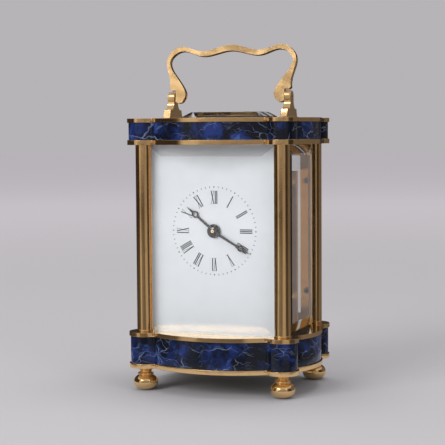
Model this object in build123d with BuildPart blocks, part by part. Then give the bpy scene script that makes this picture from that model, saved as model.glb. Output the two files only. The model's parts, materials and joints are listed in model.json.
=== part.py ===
from build123d import *
import os
from math import acos, atan2, cos, degrees, hypot, radians, sin, sqrt

# Miniature key-wound desk clock: a brass case with stone bands, bevelled glass and a fold-down handle
# Millimetres, +Z up, the front faces -Y, origin at the bottom centre on the table

os.makedirs("parts", exist_ok=True)

# Heights of the case, from the table up
foot_height = 6.7
bottom_plate_thick = 1.4
base_stone_thick = 7.9
plinth_thick = 1.2
pillar_height = 54.2
cornice_thick = 1.4
canopy_stone_thick = 5.0
top_plate_thick = 1.2

bottom_z = foot_height
base_stone_z = bottom_z + bottom_plate_thick
plinth_z = base_stone_z + base_stone_thick
floor_z = plinth_z + plinth_thick
cornice_z = floor_z + pillar_height
canopy_stone_z = cornice_z + cornice_thick
top_plate_z = canopy_stone_z + canopy_stone_thick
top_z = top_plate_z + top_plate_thick

# Plan of the case: corner lobes round the pillars, bowed sides between them
pillar_x = 21.0
pillar_y = 15.6
pillar_radius = 2.35
lobe_radius = 4.7
front_bow = pillar_y + 7.8
side_bow = pillar_x + 6.3
cove_radius = 1.0
stone_inset = 0.4
corners = [(-pillar_x, -pillar_y), (pillar_x, -pillar_y), (-pillar_x, pillar_y), (pillar_x, pillar_y)]
corner_names = ["front_left", "front_right", "back_left", "back_right"]

# Clearances
running_gap = 0.05
side_gap = 0.12
screw_gap = 0.1

# Feet, studs and pillars
foot_radius = 3.7
foot_sole_radius = 1.4
foot_waist_radius = 1.7
foot_collar_radius = 2.9
stud_radius = 1.0
stud_length = 5.0
ring_radius = 2.55
ring_height = 0.5
spigot_radius = 1.1
spigot_into_top = 0.7

# Glass panels
glass_thick = 1.6
glass_edge_thick = 0.7
glass_bevel = 3.3
glass_offset = 0.3
front_glass_y = -pillar_y - glass_offset
side_glass_x = pillar_x + glass_offset
groove_depth = 0.85
groove_gap = 0.05

# Top glass and the opening below it
top_opening_x = 21.6
top_opening_y = 12.6
top_glass_x = 25.2
top_glass_y = 16.0
top_glass_edge = 0.9
top_glass_rise = 1.85
top_glass_bevel = 2.5
recess_depth = 0.7
recess_gap = 0.05
stone_opening_x = 22.0
stone_opening_y = 14.0
cornice_opening_x = 24.0
cornice_opening_y = 19.0

# Handle and its brackets
pivot_rise = 6.2
pivot_z = top_z + pivot_rise
handle_lean = 8.0
handle_thick = 1.7
pin_radius = 0.6
bracket_inner = 17.1
bracket_thick = 2.1
bracket_top_radius = 1.65
bracket_neck_half = 1.5
bracket_hollow_half = 1.85
bracket_waist_half = 3.0
bracket_foot_half = 4.8
bracket_step = 2.6
bracket_stud_radius = 0.9
bracket_stud_length = 0.9
eye_inner = 14.6
eye_bottom = -1.65

# Rear door
door_thick = 1.8
door_side_gap = 0.45
hinge_x = door_side_gap + door_thick / 2 + pillar_radius - pillar_x
door_y = pillar_y + glass_offset
stile_width = 2.4
rail_width = 2.6
door_glass_thick = 1.2
door_rebate = 0.7
hinge_pin_radius = 0.6
hinge_pin_reach = 0.9
knob_radius = 1.15

# Dial and hands
dial_rise = 29.5
dial_z = floor_z + dial_rise
dial_y = front_glass_y + 2.7
dial_thick = 0.8
dial_side_gap = 0.9
dial_half_width = side_glass_x - glass_thick / 2 - dial_side_gap
dial_hole = 1.5
dial_foot_radius = 0.5
dial_foot_reach = 0.6
hour_hand_angle = 310.0
minute_hand_angle = 120.0
hand_thick = 0.3
hour_hand_y = dial_y - 0.35
minute_hand_y = dial_y - 0.95
hour_hand_length = 10.6
hour_ring_place = 7.4
hour_ring_radius = 1.0
hour_hub_radius = 2.0
minute_hand_length = 12.4
minute_ring_place = 9.6
minute_ring_radius = 0.95
minute_hub_radius = 1.35
arbor_tip_y = dial_y - 1.6

# Movement plates
front_plate_y = -8.0
back_plate_y = 6.0
plate_thick = 1.2
plate_half_width = 17.4
plate_height = 46.2
plate_top_z = floor_z + plate_height
plate_span = back_plate_y - front_plate_y
frame_pillar_radius = 1.2
frame_screw_radius = 0.5
frame_screw_head = 0.95
frame_screw_reach = 2.5
frame_pillar_x = plate_half_width - 2.0
frame_pillars = [(side * frame_pillar_x, z) for z in (plate_top_z - 3.4, floor_z + 8.8) for side in (-1, 1)]
seat_x = 9.0
seat_size = 3.4
seat_screw_y = -1.0
case_screw_radius = 0.75
case_screw_head = 1.6
case_screw_head_thick = 0.9
case_screw_reach = 2.6

# Going train: teeth, modules and where each wheel lies
great_teeth, great_module = 60, 0.26
inter_pinion, inter_teeth, inter_module = 10, 60, 0.2
center_pinion, center_teeth, center_module = 10, 60, 0.2
third_pinion, third_teeth, third_module = 6, 60, 0.18
contrate_pinion, contrate_teeth, contrate_module = 6, 36, 0.26
escape_pinion = 6
fine_teeth = 20
inter_direction = 249.23
contrate_offset = (5.0, 10.3)
pivot_radius = 0.3
wheel_thick = 0.6

# Motion work behind the dial
cannon_teeth = 12
minute_teeth = 36
motion_module = 0.2
minute_pinion = 10
hour_teeth = 40
set_teeth = 12
minute_wheel_direction = 225.0
set_direction = 145.0
cannon_bore = 0.5 + running_gap
cannon_pipe = 0.8
hour_bore = 0.9
hour_pipe = 1.2

# Platform escapement, on vertical arbors
platform_z = plate_top_z
platform_thick = 1.0
platform_half_width = 9.2
arbor_y = -0.5
escape_radius = 2.2
lever_distance = 2.6
fork_length = 2.95
balance_distance = 3.6
balance_radius = 4.2
balance_rim = 0.6


def shown_from_front(y):
    """Plane facing the viewer at depth y: its x is +X, its y is +Z, and it extrudes towards the front"""
    return Plane.XZ.offset(-y)


def hand_plane(y, angle):
    """Plane at the dial centre whose y points along a hand at this clock angle"""
    turn = radians(angle)
    return Plane(origin=(0, y, dial_z), x_dir=(cos(turn), 0, -sin(turn)), z_dir=(0, -1, 0))


def along(start, angle, distance):
    """Point at this angle and distance from another, in a sketch plane"""
    return (start[0] + distance * cos(radians(angle)), start[1] + distance * sin(radians(angle)))


def direction(start, end):
    """Angle in degrees of the line from one point to another"""
    return degrees(atan2(end[1] - start[1], end[0] - start[0]))


def third_corner(a, b, from_a, from_b):
    """Point at these distances from a and from b, on the left of the line from a to b"""
    span = hypot(b[0] - a[0], b[1] - a[1])
    offset = acos((span**2 + from_a**2 - from_b**2) / (2 * span * from_a))
    return along(a, direction(a, b) + degrees(offset), from_a)


def mirrored(right_half):
    """Points of a symmetrical curve, from those of its right half in order from the middle"""
    left_half = [(-x, height) for x, height in right_half[:0:-1]]
    return left_half + right_half


def plan_face(level, inset=0.0):
    """Serpentine outline shared by the plates and the stones"""
    with BuildSketch(Plane.XY.offset(level)) as plan:
        Rectangle(2 * pillar_x, 2 * pillar_y)
        with Locations(corners):
            Circle(lobe_radius - inset)
        for side in (-1, 1):
            with BuildLine():
                bow = side * (front_bow - inset)
                ThreePointArc((-pillar_x, side * pillar_y), (0, bow), (pillar_x, side * pillar_y))
                Line((-pillar_x, side * pillar_y), (pillar_x, side * pillar_y))
            make_face()
            with BuildLine():
                bow = side * (side_bow - inset)
                ThreePointArc((side * pillar_x, -pillar_y), (bow, 0), (side * pillar_x, pillar_y))
                Line((side * pillar_x, -pillar_y), (side * pillar_x, pillar_y))
            make_face()
        fillet(plan.vertices(), cove_radius)
    return plan.sketch


def holes_face(level, places, radius):
    """Round holes at several places of a level plane"""
    with BuildSketch(Plane.XY.offset(level)) as holes:
        with Locations(places):
            Circle(radius)
    return holes.sketch


def window_face(level, size_x, size_y, corner):
    """Rectangular opening with rounded corners"""
    with BuildSketch(Plane.XY.offset(level)) as window:
        RectangleRounded(size_x, size_y, corner)
    return window.sketch


def disc_face(place, y, radius, bore=0.0):
    """Disc or washer on an arbor, seen from the front"""
    with BuildSketch(shown_from_front(y)) as disc:
        with Locations(place):
            Circle(radius)
            if bore:
                Circle(bore, mode=Mode.SUBTRACT)
    return disc.sketch


def level_disc(place, z, radius, bore=0.0):
    """Disc or washer on a vertical arbor"""
    with BuildSketch(Plane.XY.offset(z)) as disc:
        with Locations(place):
            Circle(radius)
            if bore:
                Circle(bore, mode=Mode.SUBTRACT)
    return disc.sketch


def toothed_points(place, teeth, module, first_tooth, share):
    """Corners of a toothed outline: pointed teeth on the fine wheels, blunt leaves on the pinions"""
    pitch_radius = teeth * module / 2
    tip_radius = pitch_radius + 0.9 * module
    root_radius = pitch_radius - 1.25 * module
    half_root = share * 180 / teeth * 1.15
    half_tip = share * 180 / teeth * 0.35
    points = []
    for index in range(teeth):
        middle = first_tooth + index * 360 / teeth
        points.append(along(place, middle - half_root, root_radius))
        if teeth > fine_teeth:
            points.append(along(place, middle, tip_radius))
        else:
            points.append(along(place, middle - half_tip, tip_radius))
            points.append(along(place, middle + half_tip, tip_radius))
        points.append(along(place, middle + half_root, root_radius))
    return points


def toothed_face(plane, place, teeth, module, first_tooth, share=0.46):
    """Toothed disc whose first tooth points at the given angle"""
    with BuildSketch(plane) as wheel:
        with BuildLine():
            Polyline(*toothed_points(place, teeth, module, first_tooth, share), close=True)
        make_face()
    return wheel.sketch


def crossings_face(y, place, hub, rim, arms):
    """Openings between the arms of a wheel"""
    with BuildSketch(shown_from_front(y)) as openings:
        with Locations(place):
            Circle(rim)
            Circle(hub, mode=Mode.SUBTRACT)
            for arm in range(arms):
                Rectangle(2 * rim + 1, 0.5, rotation=arm * 180 / arms, mode=Mode.SUBTRACT)
    return openings.sketch


def spiral_face(plane, place, inner, pitch, turns, thick):
    """Flat spiral band drawn from half circles whose centres take turns"""
    with BuildSketch(plane) as spiral:
        with BuildLine():
            for half in range(2 * turns):
                center = (place[0] + half % 2 * pitch / 2, place[1])
                radius = inner + half * pitch / 2
                start = half % 2 * 180
                CenterArc(center, radius + thick / 2, start, 180)
                CenterArc(center, radius - thick / 2, start, 180)
            for end in (place[0] + inner, place[0] + inner + turns * pitch):
                Line((end - thick / 2, place[1]), (end + thick / 2, place[1]))
        make_face()
    return spiral.sketch


def save(part, name):
    """Label a finished piece and write it out"""
    part.label = name
    export_step(part, f"parts/{name}.step")


# Base and canopy: three brass plates, two stones and a brass top with one outline
stud_bore = stud_radius + running_gap
spigot_bore = spigot_radius + running_gap
case_screws = [(-seat_x, seat_screw_y), (seat_x, seat_screw_y)]
bracket_x = bracket_inner + bracket_thick / 2
brackets = [(-bracket_x, 0), (bracket_x, 0)]

with BuildPart() as bottom_plate:
    extrude(plan_face(bottom_z), amount=bottom_plate_thick)
    extrude(holes_face(bottom_z, corners, stud_bore), amount=bottom_plate_thick, mode=Mode.SUBTRACT)
    extrude(holes_face(bottom_z, case_screws, case_screw_radius + screw_gap), amount=bottom_plate_thick,
            mode=Mode.SUBTRACT)
save(bottom_plate.part, "bottom_plate")

with BuildPart() as base_stone:
    extrude(plan_face(base_stone_z, stone_inset), amount=base_stone_thick)
    extrude(holes_face(base_stone_z, corners, stud_bore), amount=base_stone_thick, mode=Mode.SUBTRACT)
    extrude(holes_face(base_stone_z, case_screws, case_screw_radius + screw_gap), amount=base_stone_thick,
            mode=Mode.SUBTRACT)
save(base_stone.part, "base_stone")

with BuildPart() as plinth_plate:
    extrude(plan_face(plinth_z), amount=plinth_thick)
    extrude(holes_face(plinth_z, corners, stud_bore), amount=plinth_thick, mode=Mode.SUBTRACT)
    extrude(holes_face(plinth_z, case_screws, case_screw_radius + screw_gap), amount=plinth_thick,
            mode=Mode.SUBTRACT)
    extrude(holes_face(floor_z, [(hinge_x, door_y)], hinge_pin_radius + running_gap),
            amount=-hinge_pin_reach, mode=Mode.SUBTRACT)
save(plinth_plate.part, "plinth_plate")

with BuildPart() as cornice_plate:
    extrude(plan_face(cornice_z), amount=cornice_thick)
    extrude(holes_face(cornice_z, corners, spigot_bore), amount=cornice_thick, mode=Mode.SUBTRACT)
    extrude(window_face(cornice_z, cornice_opening_x, cornice_opening_y, 2), amount=cornice_thick,
            mode=Mode.SUBTRACT)
    extrude(holes_face(cornice_z, [(hinge_x, door_y)], hinge_pin_radius + running_gap),
            amount=hinge_pin_reach, mode=Mode.SUBTRACT)
save(cornice_plate.part, "cornice_plate")

with BuildPart() as canopy_stone:
    extrude(plan_face(canopy_stone_z, stone_inset), amount=canopy_stone_thick)
    extrude(holes_face(canopy_stone_z, corners, spigot_bore), amount=canopy_stone_thick, mode=Mode.SUBTRACT)
    extrude(window_face(canopy_stone_z, stone_opening_x, stone_opening_y, 2), amount=canopy_stone_thick,
            mode=Mode.SUBTRACT)
    extrude(holes_face(top_plate_z, brackets, bracket_stud_radius + running_gap), amount=-1,
            mode=Mode.SUBTRACT)
save(canopy_stone.part, "canopy_stone")

with BuildPart() as top_plate:
    extrude(plan_face(top_plate_z), amount=top_plate_thick)
    extrude(holes_face(top_plate_z, corners, spigot_radius), amount=spigot_into_top, mode=Mode.SUBTRACT)
    extrude(holes_face(top_plate_z, brackets, bracket_stud_radius), amount=top_plate_thick,
            mode=Mode.SUBTRACT)
    extrude(window_face(top_plate_z, top_opening_x, top_opening_y, 1), amount=top_plate_thick,
            mode=Mode.SUBTRACT)
    with Locations((0, 0, top_z)):
        Box(top_glass_x + 2 * recess_gap, top_glass_y + 2 * recess_gap, 2 * recess_depth,
            mode=Mode.SUBTRACT)
save(top_plate.part, "top_plate")

# Turned feet: a bun on a waisted neck with a collar, and a stud that runs up into the pillar
for name, place in zip(corner_names, corners):
    with BuildPart() as foot:
        with BuildSketch(Plane.XZ):
            with BuildLine():
                Polyline((0, 0), (foot_sole_radius, 0), (foot_radius * 0.84, 0.75), (foot_radius, 2.0),
                         (foot_radius, 2.9), (foot_radius * 0.84, 3.9), (foot_waist_radius, 4.9),
                         (foot_waist_radius, 5.6), (foot_collar_radius, foot_height - 0.3),
                         (foot_collar_radius, foot_height), (stud_radius, foot_height),
                         (stud_radius, floor_z + stud_length), (0, floor_z + stud_length), close=True)
            make_face()
        revolve(axis=Axis.Z)
    save(foot.part.moved(Location((place[0], place[1], 0))), f"foot_{name}")

# Round corner pillars, grooved for the glass, with a threaded socket below and a spigot above
for name, place in zip(corner_names, corners):
    side_x = 1 if place[0] > 0 else -1
    side_y = 1 if place[1] > 0 else -1
    groove = glass_thick + 2 * groove_gap
    with BuildPart() as pillar:
        extrude(level_disc(place, floor_z, pillar_radius), amount=pillar_height)
        extrude(level_disc(place, floor_z, ring_radius), amount=ring_height)
        extrude(level_disc(place, cornice_z, spigot_radius),
                amount=cornice_thick + canopy_stone_thick + spigot_into_top)
        extrude(level_disc(place, floor_z, stud_radius), amount=stud_length, mode=Mode.SUBTRACT)
        with BuildSketch(Plane.XY.offset(floor_z)):
            with Locations((side_x * side_glass_x, side_y * (pillar_y - pillar_radius))):
                Rectangle(groove, 2 * groove_depth)
            if side_y < 0:
                with Locations((side_x * (pillar_x - pillar_radius), front_glass_y)):
                    Rectangle(2 * groove_depth, groove)
        extrude(amount=pillar_height, mode=Mode.SUBTRACT)
    save(pillar.part, f"pillar_{name}")

# Bevelled glass: a slab with wide ground bevels on its outer face
glass_half_x = pillar_x - pillar_radius + groove_depth - groove_gap
glass_half_y = pillar_y - pillar_radius + groove_depth - groove_gap
side_bevel = glass_bevel + groove_depth
glass_middle_z = floor_z + pillar_height / 2


def bevelled_slab(plane, width, height, bevel_x, bevel_y, edge=glass_edge_thick, thick=glass_thick):
    """Glass slab on a plane, its bevelled face outwards; edge is its thickness outside the bevel"""
    with BuildPart() as slab:
        with BuildSketch(plane):
            Rectangle(width, height)
        extrude(amount=edge)
        with BuildSketch(plane.offset(edge)):
            Rectangle(width, height)
        with BuildSketch(plane.offset(thick)):
            Rectangle(width - 2 * bevel_x, height - 2 * bevel_y)
        loft()
    return slab.part


front_glass_plane = Plane(origin=(0, front_glass_y + glass_thick / 2, glass_middle_z), x_dir=(1, 0, 0),
                          z_dir=(0, -1, 0))
front_glass = bevelled_slab(front_glass_plane, 2 * glass_half_x, pillar_height, side_bevel, glass_bevel)
save(front_glass, "front_glass")
for name, side in (("left", -1), ("right", 1)):
    side_plane = Plane(origin=(side * (side_glass_x - glass_thick / 2), 0, glass_middle_z),
                       x_dir=(0, side, 0), z_dir=(side, 0, 0))
    side_glass = bevelled_slab(side_plane, 2 * glass_half_y, pillar_height, side_bevel, glass_bevel)
    save(side_glass, f"{name}_glass")

top_glass = bevelled_slab(Plane.XY.offset(top_z - recess_depth), top_glass_x, top_glass_y, top_glass_bevel,
                          top_glass_bevel, top_glass_edge, recess_depth + top_glass_rise)
save(top_glass, "top_glass")

# Handle: a flat cast bail whose serpentine bar dips twice and whose arms end in drop-shaped eyes
lean = radians(handle_lean)
handle_plane = Plane(origin=(0, 0, pivot_z), x_dir=(1, 0, 0), z_dir=(0, -cos(lean), sin(lean)))
with BuildPart() as handle:
    with BuildSketch(handle_plane.offset(-handle_thick / 2)):
        with BuildLine():
            Spline(*mirrored([(0, 15.5), (9.7, 13.8), (16.7, 15.1), (20.1, 11.5), (19.1, 6.0),
                              (18.9, 2.6)]))
            Spline(*mirrored([(0, 13.7), (9.7, 12.35), (15.8, 13.8), (19.1, 11.0), (17.2, 6.6), (14.7, 3.2),
                              (13.8, 1.0), (14.3, -0.6)]))
            for side in (-1, 1):
                cheek = side * (bracket_inner - side_gap)
                Polyline((side * 18.9, 2.6), (side * 18.4, 2.1), (cheek, 2.1), (cheek, eye_bottom + 0.5))
                ThreePointArc((cheek, eye_bottom + 0.5), (side * 15.9, eye_bottom), (side * 14.3, -0.6))
        make_face()
    extrude(amount=handle_thick)
    with BuildSketch(Plane.YZ.offset(-bracket_inner)):
        with Locations((0, pivot_z)):
            Circle(pin_radius + running_gap)
    extrude(amount=2 * bracket_inner, mode=Mode.SUBTRACT)
save(handle.part, "handle")

for name, side in (("left", -1), ("right", 1)):
    with BuildPart() as bracket:
        with BuildSketch(Plane.YZ.offset(side * bracket_inner)):
            with BuildLine():
                step_z = top_z + bracket_step
                neck_z = pivot_z - 0.7
                Polyline((-bracket_neck_half, neck_z), (-bracket_neck_half, pivot_z))
                ThreePointArc((-bracket_neck_half, pivot_z), (0, pivot_z + bracket_top_radius),
                              (bracket_neck_half, pivot_z))
                Line((bracket_neck_half, pivot_z), (bracket_neck_half, neck_z))
                ThreePointArc((bracket_neck_half, neck_z), (bracket_hollow_half, step_z + 1.0),
                              (bracket_waist_half, step_z))
                Polyline((bracket_waist_half, step_z), (bracket_foot_half - 0.6, step_z),
                         (bracket_foot_half, top_z + 0.5), (bracket_foot_half, top_z),
                         (-bracket_foot_half, top_z), (-bracket_foot_half, top_z + 0.5),
                         (-bracket_foot_half + 0.6, step_z), (-bracket_waist_half, step_z))
                ThreePointArc((-bracket_waist_half, step_z), (-bracket_hollow_half, step_z + 1.0),
                              (-bracket_neck_half, neck_z))
            make_face()
        extrude(amount=side * bracket_thick)
        extrude(level_disc((side * bracket_x, 0), top_plate_z - bracket_stud_length, bracket_stud_radius),
                amount=top_plate_thick + bracket_stud_length)
        with BuildSketch(Plane.YZ.offset(side * bracket_inner)):
            with Locations((0, pivot_z)):
                Circle(pin_radius)
        extrude(amount=side * bracket_thick, mode=Mode.SUBTRACT)
    save(bracket.part, f"handle_bracket_{name}")

with BuildPart() as handle_pins:
    for side in (-1, 1):
        with BuildSketch(Plane.YZ.offset(side * eye_inner)):
            with Locations((0, pivot_z)):
                Circle(pin_radius)
        extrude(amount=side * (bracket_inner + bracket_thick - eye_inner))
save(handle_pins.part, "handle_pins")

# Rear door: a brass frame that turns on two pins and holds a plain glass, with a pull knob
door_gap = 0.2
door_left = hinge_x - door_thick / 2
door_right = -door_left
door_bottom = floor_z + door_gap
door_top = cornice_z - door_gap
door_height = door_top - door_bottom
window_x = door_right - stile_width
window_height = door_height - 2 * rail_width
with BuildPart() as door_frame:
    with BuildSketch(Plane.XY.offset(door_bottom)):
        with Locations((hinge_x, door_y)):
            Circle(door_thick / 2)
        with Locations(((hinge_x + door_right) / 2, door_y)):
            Rectangle(door_right - hinge_x, door_thick)
    extrude(amount=door_height)
    with Locations((0, door_y, glass_middle_z)):
        Box(2 * window_x, door_thick, window_height, mode=Mode.SUBTRACT)
        Box(2 * window_x + 2 * door_rebate, door_glass_thick, window_height + 2 * door_rebate,
            mode=Mode.SUBTRACT)
    for level in (door_bottom, door_top - hinge_pin_reach):
        extrude(level_disc((hinge_x, door_y), level, hinge_pin_radius), amount=hinge_pin_reach,
                mode=Mode.SUBTRACT)
    extrude(disc_face((door_right - stile_width / 2, glass_middle_z), door_y + door_thick, 0.5),
            amount=2 * door_thick, mode=Mode.SUBTRACT)
save(door_frame.part, "door_frame")

with BuildPart() as door_glass:
    with Locations((0, door_y, glass_middle_z)):
        Box(2 * window_x + 2 * door_rebate, door_glass_thick, window_height + 2 * door_rebate)
save(door_glass.part, "door_glass")

with BuildPart() as door_pins:
    for inner, outer in ((door_bottom + hinge_pin_reach, floor_z - hinge_pin_reach + door_gap),
                         (door_top - hinge_pin_reach, cornice_z + hinge_pin_reach - door_gap)):
        extrude(level_disc((hinge_x, door_y), min(inner, outer), hinge_pin_radius),
                amount=abs(outer - inner))
save(door_pins.part, "door_pins")

with BuildPart() as door_knob:
    with BuildSketch(Plane.XY):
        with BuildLine():
            back = door_y + door_thick / 2
            Polyline((0, back - door_thick), (0.5, back - door_thick), (0.5, back), (0.7, back),
                     (0.7, back + 0.9), (knob_radius, back + 1.5), (knob_radius, back + 2.1),
                     (0.6, back + 2.6), (0, back + 2.6), close=True)
        make_face()
    revolve(axis=Axis.Y)
save(door_knob.part.moved(Location((door_right - stile_width / 2, 0, glass_middle_z))), "door_knob")

# Where each arbor stands, in front view: x across, z up
center_place = (0, dial_z)
inter_to_center = (inter_teeth + center_pinion) * inter_module / 2
inter_place = along(center_place, inter_direction, inter_to_center)
barrel_to_inter = (great_teeth + inter_pinion) * great_module / 2
barrel_place = (0, inter_place[1] - sqrt(barrel_to_inter**2 - inter_place[0]**2))
contrate_place = (contrate_offset[0], dial_z + contrate_offset[1])
center_to_third = (center_teeth + third_pinion) * center_module / 2
third_to_contrate = (third_teeth + contrate_pinion) * third_module / 2
third_place = third_corner(center_place, contrate_place, center_to_third, third_to_contrate)
motion_distance = (cannon_teeth + minute_teeth) * motion_module / 2
hour_module = 2 * motion_distance / (minute_pinion + hour_teeth)
minute_place = along(center_place, minute_wheel_direction, motion_distance)
set_place = along(minute_place, set_direction, motion_distance)

# Depths of the train, taken from the two plates
inter_wheel_y = front_plate_y + 1.4
center_pinion_y = front_plate_y + 1.7
third_wheel_y = front_plate_y + 4.0
contrate_pinion_y = front_plate_y + 4.6
contrate_wheel_y = front_plate_y + 5.9
center_wheel_y = back_plate_y - 4.8
third_pinion_y = back_plate_y - 4.1
great_wheel_y = back_plate_y - 1.6
inter_pinion_y = back_plate_y - 1.1
motion_wheel_y = front_plate_y - plate_thick - 0.7
hour_wheel_y = motion_wheel_y - 1.4
shoulder_gap = 0.2
pivot_hole = pivot_radius + running_gap
barrel_pivot = 1.0
set_radius = 0.6
minute_stud = 0.35
click_pivot_radius = 0.5
click_place = (-4.6, barrel_place[1] + 3.5)
ratchet_y = back_plate_y + plate_thick + 0.2
ratchet_thick = 0.8
ratchet_radius = 3.0
square_end_y = door_y - 3.9
winding_square = 1.4
setting_square = 0.84
pivot_places = [inter_place, third_place, contrate_place]


def plate_face(y):
    """Outline of a movement plate, standing on the case floor"""
    with BuildSketch(shown_from_front(y)) as plate:
        with Locations((0, floor_z)):
            Rectangle(2 * plate_half_width, plate_top_z - floor_z, align=(Align.CENTER, Align.MIN))
    return plate.sketch


# Dial plate with four feet that enter the movement's front plate
dial_feet = [(-12, dial_z + 14), (12, dial_z + 14), (-12, dial_z - 24), (12, dial_z - 24)]
front_face_y = front_plate_y - plate_thick
with BuildPart() as dial:
    with BuildSketch(shown_from_front(dial_y + dial_thick)):
        with Locations((0, glass_middle_z)):
            Rectangle(2 * dial_half_width, pillar_height - 0.2)
        with Locations(center_place):
            Circle(dial_hole, mode=Mode.SUBTRACT)
    extrude(amount=dial_thick)
    for place in dial_feet:
        extrude(disc_face(place, front_face_y + dial_foot_reach, dial_foot_radius),
                amount=front_face_y + dial_foot_reach - dial_y - dial_thick)
save(dial.part, "dial")

with BuildPart() as movement_front_plate:
    extrude(plate_face(front_plate_y), amount=plate_thick)
    for place in pivot_places:
        extrude(disc_face(place, front_plate_y, pivot_hole), amount=plate_thick, mode=Mode.SUBTRACT)
    extrude(disc_face(center_place, front_plate_y, cannon_bore), amount=plate_thick, mode=Mode.SUBTRACT)
    extrude(disc_face(barrel_place, front_plate_y, barrel_pivot + running_gap), amount=plate_thick,
            mode=Mode.SUBTRACT)
    extrude(disc_face(set_place, front_plate_y, set_radius + running_gap), amount=plate_thick,
            mode=Mode.SUBTRACT)
    for place in dial_feet:
        extrude(disc_face(place, front_face_y + dial_foot_reach, dial_foot_radius),
                amount=dial_foot_reach, mode=Mode.SUBTRACT)
    extrude(disc_face(minute_place, front_face_y, minute_stud), amount=2.9)
save(movement_front_plate.part, "movement_front_plate")

rear_face_y = back_plate_y + plate_thick
seat_z = floor_z + seat_size / 2
back_screws = frame_pillars + [(-seat_x, seat_z), (seat_x, seat_z)]
with BuildPart() as movement_back_plate:
    extrude(plate_face(rear_face_y), amount=plate_thick)
    for place in pivot_places + [center_place]:
        extrude(disc_face(place, rear_face_y, pivot_hole), amount=plate_thick, mode=Mode.SUBTRACT)
    extrude(disc_face(barrel_place, rear_face_y, barrel_pivot + running_gap), amount=plate_thick,
            mode=Mode.SUBTRACT)
    extrude(disc_face(set_place, rear_face_y, set_radius + running_gap), amount=plate_thick,
            mode=Mode.SUBTRACT)
    for place in back_screws:
        extrude(disc_face(place, rear_face_y, frame_screw_radius), amount=plate_thick, mode=Mode.SUBTRACT)
    extrude(disc_face(click_place, ratchet_y + ratchet_thick + 0.1, click_pivot_radius),
            amount=ratchet_thick + 0.3)
save(movement_back_plate.part, "movement_back_plate")

with BuildPart() as movement_pillars:
    for place in frame_pillars:
        extrude(disc_face(place, back_plate_y, frame_pillar_radius), amount=plate_span)
        extrude(disc_face(place, back_plate_y, frame_screw_radius), amount=frame_screw_reach,
                mode=Mode.SUBTRACT)
save(movement_pillars.part, "movement_pillars")

with BuildPart() as movement_seats:
    with BuildSketch(shown_from_front(back_plate_y)):
        with Locations((-seat_x, seat_z), (seat_x, seat_z)):
            Rectangle(seat_size, seat_size)
    extrude(amount=plate_span)
    extrude(holes_face(floor_z, case_screws, case_screw_radius), amount=case_screw_reach,
            mode=Mode.SUBTRACT)
    for place in back_screws[-2:]:
        extrude(disc_face(place, back_plate_y, frame_screw_radius), amount=frame_screw_reach,
                mode=Mode.SUBTRACT)
save(movement_seats.part, "movement_seats")

with BuildPart() as movement_screws:
    for place in back_screws:
        extrude(disc_face(place, rear_face_y + 0.5, frame_screw_head), amount=0.5)
        extrude(disc_face(place, rear_face_y, frame_screw_radius), amount=plate_thick + frame_screw_reach)
save(movement_screws.part, "movement_screws")

with BuildPart() as case_screw_set:
    extrude(holes_face(bottom_z - case_screw_head_thick, case_screws, case_screw_head),
            amount=case_screw_head_thick)
    extrude(holes_face(bottom_z, case_screws, case_screw_radius),
            amount=floor_z + case_screw_reach - bottom_z)
save(case_screw_set.part, "case_screws")

# Mainspring barrel: toothed drum, cap, coiled spring and the arbor that winds it
drum_radius = great_teeth * great_module / 2 - 0.4
drum_wall = 0.5
drum_front_y = front_plate_y + 3.0
great_thick = 1.0
cap_thick = 0.6
spring_gap = 0.2
spring_back_y = great_wheel_y - great_thick - spring_gap
spring_height = spring_back_y - drum_front_y - 2 * spring_gap
with BuildPart() as barrel:
    great_plane = shown_from_front(great_wheel_y)
    great_tooth = direction(barrel_place, inter_place)
    extrude(toothed_face(great_plane, barrel_place, great_teeth, great_module, great_tooth),
            amount=great_thick)
    extrude(disc_face(barrel_place, great_wheel_y - great_thick, drum_radius, drum_radius - drum_wall),
            amount=great_wheel_y - great_thick - drum_front_y)
    extrude(disc_face(barrel_place, great_wheel_y, barrel_pivot + running_gap), amount=great_thick,
            mode=Mode.SUBTRACT)
save(barrel.part, "barrel")

with BuildPart() as barrel_cap:
    extrude(disc_face(barrel_place, drum_front_y, drum_radius, barrel_pivot + running_gap),
            amount=cap_thick)
save(barrel_cap.part, "barrel_cap")

with BuildPart() as mainspring:
    spring_plane = shown_from_front(spring_back_y)
    extrude(spiral_face(spring_plane, barrel_place, 1.8, 1.6, 3, 0.4), amount=spring_height)
save(mainspring.part, "mainspring")

with BuildPart() as barrel_arbor:
    extrude(disc_face(barrel_place, rear_face_y, barrel_pivot), amount=rear_face_y - front_face_y)
    extrude(disc_face(barrel_place, spring_back_y, 1.5), amount=spring_height)
    with BuildSketch(shown_from_front(square_end_y)):
        with Locations(barrel_place):
            Rectangle(winding_square, winding_square)
    extrude(amount=square_end_y - rear_face_y)
save(barrel_arbor.part, "barrel_arbor")

ratchet_teeth = 18
with BuildPart() as ratchet_wheel:
    with BuildSketch(shown_from_front(ratchet_y + ratchet_thick)):
        with BuildLine():
            corners_of_teeth = []
            for tooth in range(ratchet_teeth):
                angle = 115 + tooth * 360 / ratchet_teeth
                corners_of_teeth.append(along(barrel_place, angle, ratchet_radius))
                corners_of_teeth.append(along(barrel_place, angle + 2, ratchet_radius - 0.45))
            Polyline(*corners_of_teeth, close=True)
        make_face()
        with Locations(barrel_place):
            Rectangle(winding_square, winding_square, mode=Mode.SUBTRACT)
    extrude(amount=ratchet_thick)
save(ratchet_wheel.part, "ratchet_wheel")

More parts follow.
